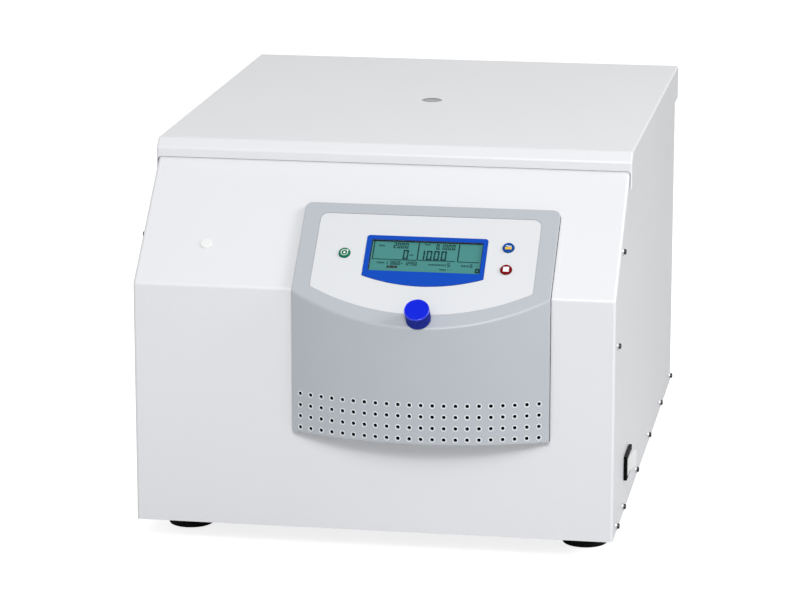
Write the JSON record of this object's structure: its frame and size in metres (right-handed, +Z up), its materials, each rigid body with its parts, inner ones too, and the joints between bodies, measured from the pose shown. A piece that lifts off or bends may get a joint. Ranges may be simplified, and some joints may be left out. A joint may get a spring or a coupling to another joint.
{
  "type": "benchtop centrifuge",
  "caption": "Benchtop laboratory centrifuge: sheet-metal casing with a sloping control panel, a rear-hinged lid on gas springs and a swing-out bucket rotor in a round bowl.",
  "frame": {"origin": "on the ground, under the middle of the whole object's box", "axes": "+Z up, -Y out of the front with the control panel, +X to the right of someone who stands in front"},
  "size_m": [0.5113, 0.714, 0.4109],
  "materials": {
    "casing_paint": "light grey powder coat with a fine texture",
    "fascia_moulding": "pale grey moulding, fine satin",
    "panel_film": "off-white film, satin",
    "surround_blue": "glossy blue",
    "display_pane": "teal liquid crystal display under a clear pane",
    "key_green": "green key with a white start symbol",
    "key_red": "red key with a white stop symbol",
    "key_blue": "blue key with a yellow lid symbol",
    "knob_blue": "vivid blue, satin",
    "white_plastic": "white, satin",
    "black_plastic": "black, fine grain",
    "view_window": "clear",
    "bright_steel": "brushed",
    "cast_alloy": "satin, machined",
    "black_rubber": "dull",
    "guard_steel": "grey primer",
    "spring_black": "black, semi-gloss",
    "circuit_green": "solder mask"
  },
  "bodies": {
    "casing": {"casing_hood": "casing_paint", "base_pan": "bright_steel", "foot_front_left": "black_rubber", "foot_front_right": "black_rubber", "foot_rear_left": "black_rubber", "foot_rear_right": "black_rubber", "rear_panel": "casing_paint", "fan_frame": "black_plastic", "mains_inlet": "black_plastic", "deck_tray": "white_plastic", "rotor_bowl": "bright_steel", "bowl_gasket": "black_rubber", "guard_ring": "guard_steel", "motor_plate": "cast_alloy", "motor_mount_1": "black_rubber", "motor_mount_2": "black_rubber", "motor_mount_3": "black_rubber", "drive_motor": "cast_alloy", "shaft_boot": "black_rubber", "lock_unit_left": "bright_steel", "lock_unit_right": "bright_steel", "hinge_base_left": "bright_steel", "hinge_base_right": "bright_steel", "control_fascia": "fascia_moulding", "membrane_panel": "panel_film", "display_surround": "surround_blue", "lcd_display": "display_pane", "control_board": "circuit_green", "knob_encoder": "bright_steel", "switch_frame": "black_plastic", "power_unit": "cast_alloy"},
    "lid": {"lid_shell": "casing_paint", "lid_liner": "white_plastic", "view_port": "view_window", "lid_striker_left": "bright_steel", "lid_striker_right": "bright_steel", "hinge_leaf_left": "bright_steel", "hinge_leaf_right": "bright_steel"},
    "rotor": {"rotor_head": "cast_alloy", "rotor_nut": "bright_steel", "drive_shaft": "bright_steel"},
    "bucket_1": {"bucket_1": "cast_alloy"},
    "bucket_2": {"bucket_2": "cast_alloy"},
    "bucket_3": {"bucket_3": "cast_alloy"},
    "bucket_4": {"bucket_4": "cast_alloy"},
    "spring_tube_left": {"gas_spring_tube_left": "spring_black"},
    "spring_tube_right": {"gas_spring_tube_right": "spring_black"},
    "spring_rod_left": {"gas_spring_rod_left": "bright_steel"},
    "spring_rod_right": {"gas_spring_rod_right": "bright_steel"},
    "latch_left": {"lock_latch_left": "bright_steel"},
    "latch_right": {"lock_latch_right": "bright_steel"},
    "start_key": {"start_key": "key_green"},
    "lid_key": {"lid_key": "key_blue"},
    "stop_key": {"stop_key": "key_red"},
    "knob": {"control_knob": "knob_blue"},
    "rocker": {"mains_rocker": "white_plastic"},
    "fan": {"fan_impeller": "black_plastic"},
    "plug": {"release_plug": "white_plastic"}
  },
  "joints": [
    {"name": "lid_hinge", "type": "hinge", "parent": "casing", "child": "lid", "pos_m": [-0.00369, 0.3503, 0.378], "axis": [-1, 0, 0], "range_deg": [0, 70]},
    {"name": "rotor_spin", "type": "hinge", "parent": "casing", "child": "rotor", "pos_m": [-0.00369, 0.0853, 0.29], "axis": [0, 0, 1], "continuous": true},
    {"name": "bucket_1_swing", "type": "hinge", "parent": "rotor", "child": "bucket_1", "pos_m": [0.09431, 0.0853, 0.29], "axis": [0, -1, 0], "range_deg": [0, 90]},
    {"name": "bucket_2_swing", "type": "hinge", "parent": "rotor", "child": "bucket_2", "pos_m": [-0.00369, 0.1833, 0.29], "axis": [1, 0, 0], "range_deg": [0, 90]},
    {"name": "bucket_3_swing", "type": "hinge", "parent": "rotor", "child": "bucket_3", "pos_m": [-0.10169, 0.0853, 0.29], "axis": [0, 1, 0], "range_deg": [0, 90]},
    {"name": "bucket_4_swing", "type": "hinge", "parent": "rotor", "child": "bucket_4", "pos_m": [-0.00369, -0.0127, 0.29], "axis": [-1, 0, 0], "range_deg": [0, 90]},
    {"name": "spring_left_swing", "type": "hinge", "parent": "casing", "child": "spring_tube_left", "pos_m": [-0.21369, 0.2153, 0.073], "axis": [-1, 0, 0], "range_deg": [0, 9.43]},
    {"name": "spring_left_stroke", "type": "slide", "parent": "spring_tube_left", "child": "spring_rod_left", "axis": [0, 0.1233, 0.9924], "range_m": [0, 0.09284]},
    {"name": "spring_right_swing", "type": "hinge", "parent": "casing", "child": "spring_tube_right", "pos_m": [0.20631, 0.2153, 0.073], "axis": [-1, 0, 0], "range_deg": [0, 9.43]},
    {"name": "spring_right_stroke", "type": "slide", "parent": "spring_tube_right", "child": "spring_rod_right", "axis": [0, 0.1233, 0.9924], "range_m": [0, 0.09284]},
    {"name": "latch_left_turn", "type": "hinge", "parent": "casing", "child": "latch_left", "pos_m": [-0.17569, -0.1527, 0.3522], "axis": [0, 1, 0], "range_deg": [0, 18]},
    {"name": "latch_right_turn", "type": "hinge", "parent": "casing", "child": "latch_right", "pos_m": [0.16831, -0.1527, 0.3522], "axis": [0, -1, 0], "range_deg": [0, 18]},
    {"name": "start_key_press", "type": "slide", "parent": "casing", "child": "start_key", "axis": [0, 0.6626, -0.749], "range_m": [0, 0.0008], "stiffness_N_per_m": 1500, "springref_m": -0.0004},
    {"name": "lid_key_press", "type": "slide", "parent": "casing", "child": "lid_key", "axis": [0, 0.6626, -0.749], "range_m": [0, 0.0008], "stiffness_N_per_m": 1500, "springref_m": -0.0004},
    {"name": "stop_key_press", "type": "slide", "parent": "casing", "child": "stop_key", "axis": [0, 0.6626, -0.749], "range_m": [0, 0.0008], "stiffness_N_per_m": 1500, "springref_m": -0.0004},
    {"name": "knob_turn", "type": "hinge", "parent": "casing", "child": "knob", "pos_m": [0.04971, -0.33961, 0.26753], "axis": [0, -0.6626, 0.749], "continuous": true},
    {"name": "rocker_tip", "type": "hinge", "parent": "casing", "child": "rocker", "pos_m": [0.24581, -0.1777, 0.077], "axis": [0, 0, 1], "range_deg": [0, 14]},
    {"name": "fan_spin", "type": "hinge", "parent": "casing", "child": "fan", "pos_m": [-0.15369, 0.3293, 0.09], "axis": [0, 1, 0], "continuous": true},
    {"name": "plug_pull", "type": "slide", "parent": "casing", "child": "plug", "axis": [0, -0.6626, 0.749], "range_m": [0, 0.012]}
  ],
  "couplings": [
    {"joint": "spring_left_swing", "follows": "lid_hinge", "ratio": 0.1345},
    {"joint": "spring_right_swing", "follows": "lid_hinge", "ratio": 0.1345},
    {"joint": "spring_left_stroke", "follows": "lid_hinge", "m_per_rad": 0.075946},
    {"joint": "spring_right_stroke", "follows": "lid_hinge", "m_per_rad": 0.075946},
    {"joint": "latch_right_turn", "follows": "latch_left_turn", "ratio": 1}
  ]
}
